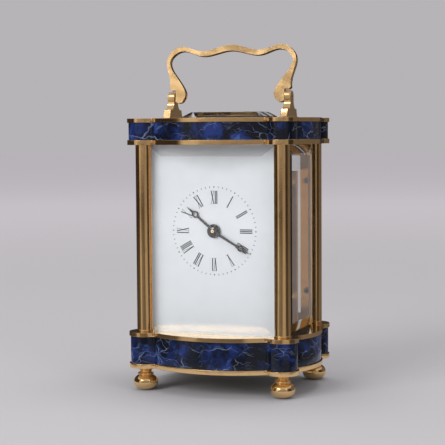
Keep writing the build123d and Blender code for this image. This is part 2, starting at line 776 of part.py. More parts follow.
nose = along(barrel_place, 115, ratchet_radius + side_gap)
with BuildPart() as click:
    with BuildSketch(shown_from_front(ratchet_y + ratchet_thick)):
        with BuildLine():
            back_corner = (click_place[0] + 0.2, click_place[1] + 0.9)
            Polyline(nose, (nose[0] + 0.1, nose[1] + 0.7), back_corner,
                     (click_place[0] - 0.3, click_place[1] - 0.8), close=True)
        make_face()
        with Locations(click_place):
            Circle(1.0)
            Circle(click_pivot_radius + running_gap, mode=Mode.SUBTRACT)
    extrude(amount=ratchet_thick)
save(click.part, "click")

with BuildPart() as click_spring:
    with BuildSketch(shown_from_front(ratchet_y + ratchet_thick)):
        anchor = (click_place[0] - 4.2, click_place[1] - 2.5)
        with Locations(anchor):
            Circle(0.9)
        with BuildLine():
            tip = (click_place[0] - 0.4, click_place[1] + 1.25)
            ThreePointArc(anchor, (click_place[0] - 3.2, click_place[1] + 0.6), tip)
            Line(tip, (tip[0], tip[1] + 0.25))
            ThreePointArc((tip[0], tip[1] + 0.25), (click_place[0] - 3.5, click_place[1] + 0.8),
                          (anchor[0] - 0.4, anchor[1]))
            Line((anchor[0] - 0.4, anchor[1]), anchor)
        make_face()
    extrude(amount=ratchet_thick + 0.2)
save(click_spring.part, "click_spring")


def wheel_and_pinion(place, wheel, pinion, arbor_radius, back, front):
    """Arbor with a crossed wheel and a pinion, each given as teeth, module, first tooth, y and width"""
    wheel_teeth, wheel_module, wheel_tooth, wheel_y, wheel_width = wheel
    leaves, pinion_module, leaf, pinion_y, pinion_width = pinion
    rim = wheel_teeth * wheel_module / 2 - 2.2 * wheel_module - 0.25
    with BuildPart() as built:
        extrude(toothed_face(shown_from_front(wheel_y), place, wheel_teeth, wheel_module, wheel_tooth),
                amount=wheel_width)
        extrude(crossings_face(wheel_y, place, 1.3, rim, 2), amount=wheel_width, mode=Mode.SUBTRACT)
        extrude(toothed_face(shown_from_front(pinion_y), place, leaves, pinion_module, leaf),
                amount=pinion_width)
        extrude(disc_face(place, back_plate_y - shoulder_gap, arbor_radius),
                amount=plate_span - 2 * shoulder_gap)
        extrude(disc_face(place, back, pivot_radius), amount=back - back_plate_y + shoulder_gap)
        extrude(disc_face(place, front_plate_y + shoulder_gap, min(arbor_radius, pivot_radius)),
                amount=front_plate_y + shoulder_gap - front)
    return built.part


inter_leaf = direction(inter_place, barrel_place) + 180 / inter_pinion
inter_tooth = direction(inter_place, center_place)
save(wheel_and_pinion(inter_place, (inter_teeth, inter_module, inter_tooth, inter_wheel_y, wheel_thick),
                      (inter_pinion, great_module, inter_leaf, inter_pinion_y, 2.0), 0.5, rear_face_y,
                      front_face_y), "intermediate_wheel")

third_leaf = direction(third_place, center_place) + 180 / third_pinion
third_tooth = direction(third_place, contrate_place)
save(wheel_and_pinion(third_place, (third_teeth, third_module, third_tooth, third_wheel_y, wheel_thick),
                      (third_pinion, center_module, third_leaf, third_pinion_y, 2.0), 0.3, rear_face_y,
                      front_face_y), "third_wheel")

with BuildPart() as center_wheel:
    center_leaf = direction(center_place, inter_place) + 180 / center_pinion
    center_tooth = direction(center_place, third_place)
    extrude(toothed_face(shown_from_front(center_wheel_y), center_place, center_teeth, center_module,
                         center_tooth), amount=wheel_thick)
    extrude(crossings_face(center_wheel_y, center_place, 1.3, 5.2, 2), amount=wheel_thick,
            mode=Mode.SUBTRACT)
    extrude(toothed_face(shown_from_front(center_pinion_y), center_place, center_pinion, inter_module,
                         center_leaf), amount=1.2)
    extrude(disc_face(center_place, back_plate_y - shoulder_gap, 0.5),
            amount=back_plate_y - shoulder_gap - arbor_tip_y)
    extrude(disc_face(center_place, rear_face_y, pivot_radius), amount=plate_thick + shoulder_gap)
save(center_wheel.part, "center_wheel")

# Contrate wheel: its teeth stand up from the rim and drive the upright escape pinion
crown_tip_y = arbor_y - 0.63
crown_root_y = crown_tip_y - 0.5
crown_width = 0.5
tooth_width = 0.4
crown_pitch = contrate_teeth * contrate_module / 2
with BuildPart() as contrate_wheel:
    crown_outer = crown_pitch + crown_width / 2
    crown_inner = crown_pitch - crown_width / 2
    extrude(disc_face(contrate_place, contrate_wheel_y, crown_outer), amount=0.5)
    extrude(crossings_face(contrate_wheel_y, contrate_place, 1.2, crown_inner - 0.2, 2), amount=0.5,
            mode=Mode.SUBTRACT)
    extrude(disc_face(contrate_place, crown_root_y, crown_outer, crown_inner),
            amount=crown_root_y - contrate_wheel_y)
    for tooth in range(contrate_teeth):
        angle = radians(90 + tooth * 360 / contrate_teeth)
        outward = (cos(angle), 0, sin(angle))
        start = crown_pitch - tooth_width / 2
        tooth_plane = Plane(origin=(contrate_place[0] + start * outward[0], crown_root_y,
                                    contrate_place[1] + start * outward[2]),
                            x_dir=(-sin(angle), 0, cos(angle)), z_dir=outward)
        with BuildSketch(tooth_plane):
            with BuildLine():
                rise = crown_tip_y - crown_root_y
                Polyline((-0.2, 0), (-0.06, -rise), (0.06, -rise), (0.2, 0), close=True)
            make_face()
        extrude(amount=tooth_width)
    contrate_leaf = direction(contrate_place, third_place) + 180 / contrate_pinion
    extrude(toothed_face(shown_from_front(contrate_pinion_y), contrate_place, contrate_pinion, third_module,
                         contrate_leaf), amount=1.8)
    extrude(disc_face(contrate_place, rear_face_y, pivot_radius), amount=rear_face_y - front_face_y)
save(contrate_wheel.part, "contrate_wheel")

# Motion work: cannon pinion on the center arbor, minute wheel on its stud, hour wheel on its pipe
with BuildPart() as cannon_pinion:
    cannon_leaf = direction(center_place, minute_place) + 180 / cannon_teeth
    extrude(toothed_face(shown_from_front(motion_wheel_y + 0.3), center_place, cannon_teeth, motion_module,
                         cannon_leaf), amount=1)
    extrude(disc_face(center_place, motion_wheel_y + 0.3, cannon_pipe),
            amount=motion_wheel_y + 0.3 - minute_hand_y + hand_thick + 0.1)
    extrude(disc_face(center_place, motion_wheel_y + 0.3, cannon_bore),
            amount=motion_wheel_y + 1 - arbor_tip_y, mode=Mode.SUBTRACT)
save(cannon_pinion.part, "cannon_pinion")

with BuildPart() as minute_wheel:
    minute_tooth = direction(minute_place, center_place)
    extrude(toothed_face(shown_from_front(motion_wheel_y), minute_place, minute_teeth, motion_module,
                         minute_tooth), amount=0.6)
    extrude(toothed_face(shown_from_front(motion_wheel_y - 0.6), minute_place, minute_pinion, hour_module,
                         minute_tooth), amount=1.5)
    extrude(disc_face(minute_place, motion_wheel_y, minute_stud + running_gap), amount=3,
            mode=Mode.SUBTRACT)
save(minute_wheel.part, "minute_wheel")

with BuildPart() as hour_wheel:
    hour_tooth = direction(center_place, minute_place) + 180 / hour_teeth
    extrude(toothed_face(shown_from_front(hour_wheel_y), center_place, hour_teeth, hour_module, hour_tooth),
            amount=0.6)
    extrude(disc_face(center_place, hour_wheel_y, hour_pipe),
            amount=hour_wheel_y - hour_hand_y + hand_thick)
    extrude(disc_face(center_place, hour_wheel_y, hour_bore), amount=hour_wheel_y - arbor_tip_y,
            mode=Mode.SUBTRACT)
save(hour_wheel.part, "hour_wheel")

with BuildPart() as set_arbor:
    set_leaf = direction(set_place, minute_place) + 180 / set_teeth
    extrude(toothed_face(shown_from_front(motion_wheel_y + 0.3), set_place, set_teeth, motion_module,
                         set_leaf), amount=1)
    extrude(disc_face(set_place, rear_face_y, set_radius), amount=rear_face_y - motion_wheel_y - 0.3)
    extrude(disc_face(set_place, back_plate_y - 0.1, 0.9), amount=0.5)
    with BuildSketch(shown_from_front(square_end_y)):
        with Locations(set_place):
            Rectangle(setting_square, setting_square)
    extrude(amount=square_end_y - rear_face_y)
save(set_arbor.part, "set_arbor")


def hand_part(y, angle, length, ring_place, ring_radius, hub_radius, bore):
    """Blued steel hand: hub, tapering stem, pierced ring and fine point"""
    with BuildPart() as hand:
        with BuildSketch(hand_plane(y, angle)):
            with BuildLine():
                ring_base = ring_place - ring_radius + 0.2
                Polyline((-0.42, 0), (-0.3, ring_base), (0.3, ring_base), (0.42, 0), close=True)
            make_face()
            with BuildLine():
                ring_top = ring_place + ring_radius - 0.2
                Polyline((-0.36, ring_top), (-0.05, length), (0.05, length), (0.36, ring_top), close=True)
            make_face()
            with Locations((0, ring_place)):
                Circle(ring_radius)
                Circle(ring_radius - 0.4, mode=Mode.SUBTRACT)
            Circle(hub_radius)
            Circle(bore, mode=Mode.SUBTRACT)
        extrude(amount=hand_thick)
    return hand.part


save(hand_part(hour_hand_y, hour_hand_angle, hour_hand_length, hour_ring_place, hour_ring_radius,
               hour_hub_radius, hour_pipe), "hour_hand")
save(hand_part(minute_hand_y, minute_hand_angle, minute_hand_length, minute_ring_place, minute_ring_radius,
               minute_hub_radius, cannon_pipe), "minute_hand")

# Platform escapement: escape wheel, lever and balance stand upright between the platform and their bridges
escape_place = (contrate_place[0], arbor_y)
lever_place = (escape_place[0] - lever_distance, arbor_y)
balance_place = (lever_place[0] - balance_distance, arbor_y)
platform_top = platform_z + platform_thick
escape_wheel_z = platform_top + 0.6
bridge_z = escape_wheel_z + 1.1
balance_z = bridge_z + 1.2
cock_z = balance_z + 2.0
cock_thick = 0.8
small_pivot = 0.15
small_hole = small_pivot + running_gap
platform_depth = rear_face_y - front_face_y
screw_inset = 0.6
small_screw_radius = 0.35
small_screw_head = 0.7
bridge_thick = 0.5
escape_thick = 0.4
pivot_reach = 0.5
platform_corners = [(side * (platform_half_width - 0.9), y) for side in (-1, 1)
                    for y in (front_face_y + screw_inset, rear_face_y - screw_inset)]

with BuildPart() as platform:
    with Locations((0, (front_face_y + rear_face_y) / 2, platform_z)):
        Box(2 * platform_half_width, platform_depth, platform_thick,
            align=(Align.CENTER, Align.CENTER, Align.MIN))
    extrude(level_disc(escape_place, platform_z, 1.2), amount=platform_thick, mode=Mode.SUBTRACT)
    for place in (lever_place, balance_place):
        extrude(level_disc(place, platform_z, small_hole), amount=platform_thick, mode=Mode.SUBTRACT)
    extrude(holes_face(platform_z, platform_corners, small_screw_radius), amount=platform_thick,
            mode=Mode.SUBTRACT)
save(platform.part, "platform")

with BuildPart() as platform_screws:
    extrude(holes_face(platform_top, platform_corners, small_screw_head), amount=0.4)
    extrude(holes_face(platform_z, platform_corners, small_screw_radius), amount=platform_thick)
save(platform_screws.part, "platform_screws")

potence_drop = 4.0
potence_z = platform_z - potence_drop
potence_thick = 0.8
potence_width = 2.4
with BuildPart() as potence:
    with BuildSketch(Plane.YZ.offset(escape_place[0] - potence_width / 2)):
        with BuildLine():
            Polyline((-1.0, potence_z), (2.4, potence_z), (2.4, platform_z), (1.2, platform_z),
                     (1.2, potence_z + potence_thick), (-1.0, potence_z + potence_thick), close=True)
        make_face()
    extrude(amount=potence_width)
    extrude(level_disc(escape_place, potence_z, small_hole), amount=potence_thick, mode=Mode.SUBTRACT)
save(potence.part, "potence")

escape_teeth = 15
with BuildPart() as escape_wheel:
    with BuildSketch(Plane.XY.offset(escape_wheel_z)):
        with BuildLine():
            club_teeth = []
            for tooth in range(escape_teeth):
                angle = 180 + 12 + tooth * 360 / escape_teeth
                club_teeth.append(along(escape_place, angle - 3, escape_radius - 0.65))
                club_teeth.append(along(escape_place, angle, escape_radius))
                club_teeth.append(along(escape_place, angle + 4, escape_radius - 0.08))
                club_teeth.append(along(escape_place, angle + 5, escape_radius - 0.65))
            Polyline(*club_teeth, close=True)
        make_face()
    extrude(amount=escape_thick)
    pinion_plane = Plane.XY.offset(potence_z + 1.4)
    escape_leaf = 270 + 180 / escape_pinion
    extrude(toothed_face(pinion_plane, escape_place, escape_pinion, contrate_module, escape_leaf), amount=2)
    extrude(level_disc(escape_place, potence_z + 0.85, 0.3), amount=bridge_z - 0.05 - potence_z - 0.85)
    extrude(level_disc(escape_place, potence_z + 0.1, small_pivot),
            amount=bridge_z + pivot_reach - potence_z - 0.1)
save(escape_wheel.part, "escape_wheel")

with BuildPart() as lever:
    with BuildSketch(Plane.XY.offset(escape_wheel_z)):
        with BuildLine():
            fork_x = lever_place[0] - fork_length
            Polyline((fork_x, arbor_y - 0.45), (fork_x, arbor_y - 0.17), (fork_x + 0.5, arbor_y - 0.17),
                     (fork_x + 0.5, arbor_y + 0.17), (fork_x, arbor_y + 0.17), (fork_x, arbor_y + 0.45),
                     (fork_x + 0.8, arbor_y + 0.25), (lever_place[0], arbor_y + 0.4),
                     (lever_place[0], arbor_y - 0.4), (fork_x + 0.8, arbor_y - 0.25), close=True)
        make_face()
        for side in (-1, 1):
            with BuildLine():
                Polyline((lever_place[0] - 0.4, arbor_y), (lever_place[0] + 0.05, arbor_y + side * 1.9),
                         (lever_place[0] + 0.45, arbor_y + side * 1.9), (lever_place[0] + 0.15, arbor_y),
                         close=True)
            make_face()
            with Locations((lever_place[0] + 0.45, arbor_y + side * 1.85)):
                Rectangle(0.5, 0.5, rotation=side * -35)
    extrude(amount=escape_thick)
    extrude(level_disc(lever_place, platform_top + 0.05, 0.25), amount=bridge_z - platform_top - 0.1)
    extrude(level_disc(lever_place, platform_z + pivot_reach, small_pivot), amount=bridge_z - platform_z)
save(lever.part, "lever")

with BuildPart() as escapement_bridge:
    with BuildSketch(Plane.XY.offset(bridge_z)):
        with Locations(escape_place):
            Rectangle(1.8, 9.0)
        with Locations(((escape_place[0] + lever_place[0]) / 2, arbor_y)):
            Rectangle(lever_distance + 1.2, 1.4)
    extrude(amount=bridge_thick)
    for side in (-1, 1):
        with Locations((escape_place[0], arbor_y + side * 3.9, platform_top)):
            Box(1.8, 1.2, bridge_z - platform_top, align=(Align.CENTER, Align.CENTER, Align.MIN))
    for place in (escape_place, lever_place):
        extrude(level_disc(place, bridge_z, small_hole), amount=bridge_thick, mode=Mode.SUBTRACT)
save(escapement_bridge.part, "escapement_bridge")

with BuildPart() as balance_wheel:
    extrude(level_disc(balance_place, balance_z, balance_radius, balance_radius - balance_rim), amount=0.7)
    with BuildSketch(Plane.XY.offset(balance_z + 0.1)):
        with Locations(balance_place):
            Rectangle(2 * balance_radius - balance_rim, 0.7)
            Circle(0.7)
    extrude(amount=0.4)
    roller_z = escape_wheel_z + 0.85
    extrude(level_disc(balance_place, roller_z, 0.95), amount=0.25)
    extrude(level_disc((balance_place[0] + 0.7, arbor_y), roller_z - 0.38, 0.12), amount=0.38)
    extrude(level_disc(balance_place, balance_z + 1.15, 0.55), amount=0.4)
    extrude(level_disc(balance_place, platform_top + 0.1, 0.3), amount=cock_z - platform_top - 0.15)
    extrude(level_disc(balance_place, platform_z + pivot_reach, small_pivot), amount=cock_z - platform_z)
save(balance_wheel.part, "balance_wheel")

hairspring_z = balance_z + 1.2
hairspring_turns = 3
hairspring_pitch = 0.58
hairspring_end = 0.7 + hairspring_turns * hairspring_pitch
cock_foot_x = -7.4
with BuildPart() as balance_cock:
    with Locations((cock_foot_x, arbor_y, platform_top)):
        Box(3.0, 3.6, cock_z - platform_top, align=(Align.CENTER, Align.CENTER, Align.MIN))
    with BuildSketch(Plane.XY.offset(cock_z)):
        with Locations(((cock_foot_x + balance_place[0]) / 2, arbor_y)):
            Rectangle(balance_place[0] - cock_foot_x, 1.9)
        with Locations((cock_foot_x, arbor_y)):
            Rectangle(3.0, 3.6)
        with Locations(balance_place):
            Circle(1.2)
    extrude(amount=cock_thick)
    extrude(level_disc(balance_place, cock_z + cock_thick, 0.9), amount=0.35)
    with Locations((balance_place[0] + hairspring_end, arbor_y + 0.2, hairspring_z)):
        Box(0.4, 0.4, cock_z - hairspring_z, align=(Align.CENTER, Align.MIN, Align.MIN))
    extrude(level_disc(balance_place, cock_z, small_hole), amount=0.6, mode=Mode.SUBTRACT)
save(balance_cock.part, "balance_cock")

with BuildPart() as hairspring:
    extrude(spiral_face(Plane.XY.offset(hairspring_z), balance_place, 0.7, hairspring_pitch,
                        hairspring_turns, 0.1), amount=0.3)
save(hairspring.part, "hairspring")

with BuildPart() as regulator:
    index_z = cock_z + cock_thick + running_gap
    extrude(level_disc(balance_place, index_z, 1.5, 0.95), amount=0.25)
    with BuildSketch(Plane.XY.offset(index_z)):
        with BuildLine():
            x, y = balance_place
            Polyline((x - 0.45, y - 1.3), (x - 0.15, y - 4.4), (x + 0.15, y - 4.4), (x + 0.45, y - 1.3),
                     close=True)
        make_face()
        with Locations((x, y + 1.9)):
            Rectangle(0.5, 1.2)
    extrude(amount=0.25)
    extrude(level_disc((x, y + 2.2), index_z, 0.12), amount=hairspring_z + 0.4 - index_z)
save(regulator.part, "regulator")
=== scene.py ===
# %% [markdown]
# Miniature desk clock. The construction is already fixed: every brass plate, wheel and pane comes in as a
# frame, and this lesson gives it the looks. We load the frame first.

# %% Load the frame
import bmesh
import bpy
import json
import random
from math import acos, cos, pi, radians, sin
from mathutils import Matrix, Vector


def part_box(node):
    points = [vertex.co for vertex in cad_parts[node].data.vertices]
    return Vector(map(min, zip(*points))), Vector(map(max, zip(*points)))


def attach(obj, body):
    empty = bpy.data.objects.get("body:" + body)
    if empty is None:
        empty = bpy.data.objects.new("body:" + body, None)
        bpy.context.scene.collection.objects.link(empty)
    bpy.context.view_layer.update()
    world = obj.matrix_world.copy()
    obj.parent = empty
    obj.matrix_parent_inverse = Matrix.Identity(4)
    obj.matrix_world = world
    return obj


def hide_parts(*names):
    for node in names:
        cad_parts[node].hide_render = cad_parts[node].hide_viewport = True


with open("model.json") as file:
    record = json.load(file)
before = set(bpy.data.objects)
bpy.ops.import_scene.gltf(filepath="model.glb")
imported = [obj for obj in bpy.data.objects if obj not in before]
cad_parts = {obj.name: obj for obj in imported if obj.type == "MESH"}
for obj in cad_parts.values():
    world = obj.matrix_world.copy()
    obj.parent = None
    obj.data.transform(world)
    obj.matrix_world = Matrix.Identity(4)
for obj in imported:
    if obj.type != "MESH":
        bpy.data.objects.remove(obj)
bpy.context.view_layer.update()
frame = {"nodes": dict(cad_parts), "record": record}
nodes = frame["nodes"]
body_of_node = {node: body for body, held in frame["record"]["behaviour"]["bodies"].items() for node in held}
slot_of_node = {part["node"]: part["material_slot"] for part in frame["record"]["subparts"]}
mm = 0.001

# %% [markdown]
# The camera. A small clock taken from close by through a long lens shows almost no perspective. We could
# aim a camera by eye, but the case is a known shape, so its corners fix the camera: about twenty degrees to
# the right of the dial, four degrees above level and 0.4 m away. Its matrix is built from three directions,
# so that the small tilt of the camera goes in as well.

# %% Camera
azimuth, elevation, roll = radians(20.342), radians(3.859), radians(-0.382)
camera_place = Vector((134.46, -369.62, 74.776)) * mm
backwards = Vector((sin(azimuth) * cos(elevation), -cos(azimuth) * cos(elevation), sin(elevation)))
rightwards = Vector((0, 0, 1)).cross(backwards).normalized()
upwards = backwards.cross(rightwards)
tilted_right = rightwards * cos(roll) + upwards * sin(roll)
tilted_up = upwards * cos(roll) - rightwards * sin(roll)
facing = Matrix((tilted_right, tilted_up, backwards)).transposed().to_4x4()

lens = bpy.data.cameras.new("camera")
lens.lens = 107.71
lens.sensor_width = 36
lens.clip_start, lens.clip_end = 0.02, 20
camera = bpy.data.objects.new("camera", lens)
camera.matrix_world = Matrix.Translation(camera_place) @ facing
bpy.context.scene.collection.objects.link(camera)
bpy.context.scene.camera = camera
bpy.context.scene.view_settings.view_transform = "Standard"
print("camera", tuple(round(v, 3) for v in camera_place), "lens", lens.lens)

# %% [markdown]
# Shader maths written node by node is slow to read. A small class wraps a node's output, so that an
# expression such as 1 - mask adds the Math node by itself. fade turns a value into a soft mask: nought
# below one value, one above the other.


# %% Node outputs as numbers
class Signal:
    def __init__(self, bench, socket):
        self.bench, self.socket = bench, socket

    def math(self, operation, first, second):
        return self.bench.node("ShaderNodeMath", {"operation": operation}, {0: first, 1: second})

    def __add__(self, other):
        return self.math("ADD", self, other)

    def __sub__(self, other):
        return self.math("SUBTRACT", self, other)

    def __rsub__(self, other):
        return self.math("SUBTRACT", other, self)

    def __mul__(self, other):
        return self.math("MULTIPLY", self, other)

    __radd__ = __add__
    __rmul__ = __mul__

    def larger(self, other):
        return self.math("MAXIMUM", self, other)

    def fade(self, low, high):
        inputs = {"Value": self, "From Min": low, "From Max": high}
        return self.bench.node("ShaderNodeMapRange", {"interpolation_type": "SMOOTHSTEP"}, inputs)


print("node outputs can be added, subtracted and multiplied")

# %% [markdown]
# Every other node comes from one method, which takes the node's type, its settings and what goes into its
# sockets, numbers or other nodes' outputs alike. Colours are mixed by a node of their own, because a Math
# node would turn them grey.


# %% Nodes from one method
class NodeBench:
    def __init__(self, tree):
        self.tree = tree

    def node(self, kind, settings=None, inputs=None, output=0):
        made = self.tree.nodes.new(kind)
        for key, value in (settings or {}).items():
            setattr(made, key, value)
        for key, value in (inputs or {}).items():
            if isinstance(value, Signal):
                self.tree.links.new(value.socket, made.inputs[key])
            else:
                made.inputs[key].default_value = value
        return Signal(self, made.outputs[output])

    def blend(self, factor, first, second):
        first, second = [c if isinstance(c, Signal) else (*c, 1) for c in (first, second)]
        return self.node("ShaderNodeMix", {"data_type": "RGBA"}, {0: factor, 6: first, 7: second}, 2)


print("nodes can be added and colours mixed")

# %% [markdown]
# A finish is a material under construction. Patterns read Object coordinates, which are metres here, so a
# scale is a count per metre: 160 puts one cloud every 6 mm. What is the same all over is set on the shader
# itself.


# %% A finish under construction
class Finish(NodeBench):
    def __init__(self, name, **plain):
        self.material = bpy.data.materials.new(name)
        self.material.use_nodes = True
        super().__init__(self.material.node_tree)
        self.shader = self.tree.nodes["Principled BSDF"]
        for key, value in plain.items():
            self.shader.inputs[key.replace("_", " ").title().replace("Ior", "IOR")].default_value = value
        self.place = self.node("ShaderNodeTexCoord", output="Object")

    def coordinate(self, axis, vector=None):
        return self.node("ShaderNodeSeparateXYZ", {}, {0: vector or self.place}, axis)

    def stretched(self, scale, turn=(0, 0, 0), vector=None):
        inputs = {"Vector": vector or self.place, "Scale": scale, "Rotation": turn}
        return self.node("ShaderNodeMapping", {}, inputs)

    def noise(self, scale, detail=3.0, roughness=0.5, vector=None, output="Fac"):
        inputs = {"Vector": vector or self.place, "Scale": scale, "Detail": detail, "Roughness": roughness}
        return self.node("ShaderNodeTexNoise", {}, inputs, output)

    def cell_edges(self, scale, vector):
        settings = {"feature": "DISTANCE_TO_EDGE"}
        return self.node("ShaderNodeTexVoronoi", settings, {"Vector": vector, "Scale": scale}, "Distance")

    def warped(self, scale, amount):
        offset = self.noise(scale, output="Color")
        middle = (0.5, 0.5, 0.5)
        centred = self.node("ShaderNodeVectorMath", {"operation": "SUBTRACT"}, {0: offset, 1: middle})
        small = self.node("ShaderNodeVectorMath", {"operation": "SCALE"}, {0: centred, "Scale": amount})
        return self.node("ShaderNodeVectorMath", {"operation": "ADD"}, {0: self.place, 1: small})

    def feed(self, socket, signal):
        self.tree.links.new(signal.socket, self.shader.inputs[socket])

    def bump(self, height, depth, strength):
        inputs = {"Height": height, "Distance": depth, "Strength": strength}
        self.feed("Normal", self.node("ShaderNodeBump", {}, inputs, "Normal"))

    def report(self):
        print(self.material.name, "has", len(self.tree.nodes), "nodes")


print("finishes can be made")

# %% [markdown]
# Polished brass is a mirror with a warm tint. What makes it look real is that the mirror isn't perfect:
# faint clouds where polish left a film, a little tarnish, and hairlines from the buffing wheel. A painted
# picture could show them, but noise needs no unwrapping and stays sharp from close by. The clouds go into
# roughness, the tarnish into colour and the hairlines into a very shallow bump. Light that brass throws
# onto a dial comes as hard bright patches, so soft bounced rays find the brass darker.

# %% Polished brass
brass = Finish("polished_brass", metallic=1.0)
clean_brass, tarnished_brass, bounced_brass = (0.94, 0.64, 0.31), (0.60, 0.34, 0.11), (0.16, 0.12, 0.08)
clouds = brass.noise(160, 4.0, 0.6).fade(0.35, 0.75)
tarnish = brass.noise(420, 5.0, 0.65).fade(0.56, 0.78)
hairlines = brass.noise(1, 2.0, 0.5, brass.stretched((900, 900, 9000)))
mirror_tone = brass.blend(tarnish * 0.55, clean_brass, tarnished_brass)
bounced = brass.node("ShaderNodeLightPath", output="Is Diffuse Ray")
brass.feed("Base Color", brass.blend(bounced, mirror_tone, bounced_brass))
brass.feed("Roughness", 0.07 + clouds * 0.10 + tarnish * 0.08)
brass.bump(hairlines, 0.02 * mm, 0.25)
brass.report()

# %% [markdown]
# The bands are a dark blue veined stone, cut thin and polished. It is layered: nearly black ground, blue
# clouds, pale streaks, and hairline cracks that were healed with white mineral. Noise gives the clouds. The
# cracks are the borders between the cells of a Voronoi texture. Straight borders would look drawn with a
# ruler, so the coordinates are warped first. A second, finer net shows only where another noise lets it.

# %% Blue veined stone
stone = Finish("blue_stone", specular_ior_level=0.35)
black_ground, deep_blue, royal_blue = (0.005, 0.007, 0.014), (0.012, 0.030, 0.14), (0.06, 0.13, 0.40)
pale_streak, healed_crack = (0.22, 0.28, 0.42), (0.36, 0.44, 0.62)
bent = stone.warped(160, 0.007)
ground = stone.noise(125, 6.0, 0.66, bent)
royal_clouds = stone.noise(210, 5.0, 0.7, bent).fade(0.53, 0.74) * ground.fade(0.46, 0.62)
streaks = stone.noise(1, 5.0, 0.6, stone.stretched((90, 60, 330), (0.2, 0.9, 0.1), bent)).fade(0.60, 0.78)
slanted = stone.stretched((0.6, 0.8, 1.5), (0.4, 0.5, 0.3), bent)
cracks = (1 - stone.cell_edges(115, slanted).fade(0.0, 0.022)) * stone.noise(130).fade(0.44, 0.66)
net = (1 - stone.cell_edges(300, slanted).fade(0.0, 0.035)) * stone.noise(170, 2.0).fade(0.46, 0.62)
veins = cracks.larger(net * 0.6)
layers = stone.blend(ground.fade(0.45, 0.64), black_ground, deep_blue)
layers = stone.blend(royal_clouds * 0.8, layers, royal_blue)
layers = stone.blend(streaks * 0.6, layers, pale_streak)
stone.feed("Base Color", stone.blend(veins * 0.6, layers, healed_crack))
stone.feed("Roughness", 0.10 + veins * 0.15 + stone.noise(500).fade(0.4, 0.8) * 0.08)
stone.bump(1 - veins, 0.02 * mm, 0.3)
stone.report()

# %% [markdown]
# The panels are thick plate glass with wide ground bevels. Principled glass bends the view through the
# bevels by itself. Rays from lamps and soft bounced light go straight through instead, otherwise the panes
# would throw dark shadows on the dial. The upper bevels, which look up a little, show grey under the
# cornice. That grey is painted shade: a darker tint on those faces stands in for the cornice's shadow and
# for the dark underside of the cornice that they mirror. A breath of dust and smears varies the roughness.
# The narrow edge between a bevel and the flat is ground and stays a little cloudy.


# %% Bevelled glass
def clear_glass(name, tint, ground_rough=0.0, clouding=0.0):
    """Glass that bends the view and lets the light of lamps through"""
    glass = Finish(name, transmission_weight=1.0 - clouding, ior=1.5)
    smears = glass.noise(90, 4.0, 0.6).fade(0.60, 0.85)
    glass.feed("Roughness", ground_rough + smears * 0.03)
    looks_up = glass.coordinate(2, glass.node("ShaderNodeTexCoord", output="Normal"))
    # painted shade: faces that look a little upwards get a darker tint, in place of the cornice's shadow and
    # its mirrored dark underside
    painted_shade_on_upper_bevels = looks_up.fade(0.10, 0.16) - looks_up.fade(0.6, 0.7)
    glass.feed("Base Color", glass.blend(painted_shade_on_upper_bevels, tint, tuple(share * 0.62 for share in tint)))
    from_lamps = glass.node("ShaderNodeLightPath", output="Is Shadow Ray")
    passing = from_lamps.larger(glass.node("ShaderNodeLightPath", output="Is Diffuse Ray"))
    open_air = glass.node("ShaderNodeBsdfTransparent", {}, {"Color": (0.96, 0.97, 0.965, 1)})
    body = Signal(glass, glass.shader.outputs["BSDF"])
    mixed = glass.node("ShaderNodeMixShader", {}, {0: passing, 1: body, 2: open_air})
    glass.tree.links.new(mixed.socket, glass.tree.nodes["Material Output"].inputs["Surface"])
    glass.report()
    return glass


pane_glass = clear_glass("bevelled_glass", (0.985, 1.0, 0.99))
arris_glass = clear_glass("ground_arris", (0.97, 0.98, 0.98), ground_rough=0.30, clouding=0.65)

# %% [markdown]
# The dial is a flat plate with a white coat, slightly cool, with the faint unevenness that fired or sprayed
# enamel has. One flat white would look like paper, so two near whites are mixed and the surface ripples a
# hundredth of a millimetre.

# %% Dial white
enamel = Finish("dial_enamel", roughness=0.42, coat_weight=0.15, coat_roughness=0.2)
mottle = enamel.noise(240, 4.0, 0.6).fade(0.35, 0.75)
enamel.feed("Base Color", enamel.blend(mottle, (0.80, 0.815, 0.855), (0.77, 0.785, 0.825)))
enamel.bump(enamel.noise(1400, 2.0), 0.01 * mm, 0.2)
enamel.report()

# %% [markdown]
# There are two blacks on the dial. The numerals are printed and matt. The hands are lacquered and shine.
# Neither is pure black, because ink and lacquer always give back a little light.

# %% Print and lacquer
print_black = Finish("printed_black", roughness=0.55)
ink = print_black.noise(2500, 2.0)
print_black.feed("Base Color", print_black.blend(ink, (0.010, 0.010, 0.014), (0.025, 0.025, 0.032)))
print_black.report()

lacquer = Finish("black_hands", coat_weight=0.5, coat_roughness=0.08)
lacquer.feed("Base Color", lacquer.blend(lacquer.noise(900), (0.006, 0.006, 0.009), (0.02, 0.02, 0.028)))
lacquer.feed("Roughness", 0.22 + lacquer.noise(1500).fade(0.3, 0.8) * 0.15)
lacquer.report()

# %% [markdown]
# The movement's plates and wheels are brass too, but drawn with a fine straight grain under lacquer, so
# they are duller and deeper than the case. The grain is noise, stretched until only lines are left.

# %% Movement brass
movement_brass = Finish("movement_brass", metallic=1.0, coat_weight=0.15)
grain = movement_brass.noise(1, 3.0, 0.6, movement_brass.stretched((6000, 600, 500)))
spots = movement_brass.noise(260, 4.0, 0.6).fade(0.5, 0.8)
movement_brass.feed("Base Color", movement_brass.blend(spots * 0.7, (0.86, 0.60, 0.30), (0.62, 0.38, 0.17)))
movement_brass.feed("Roughness", 0.26 + grain * 0.14)
movement_brass.bump(grain, 0.02 * mm, 0.35)
movement_brass.report()

# %% [markdown]
# Arbors, the click and the lever are bright steel with lathe marks. Springs and screws are blued, as steel
# is after tempering. The pivots run in ruby. Real ruby is clear, but a thin jewel over brass looks like a
# deep red gloss, and that renders without a trace of noise.

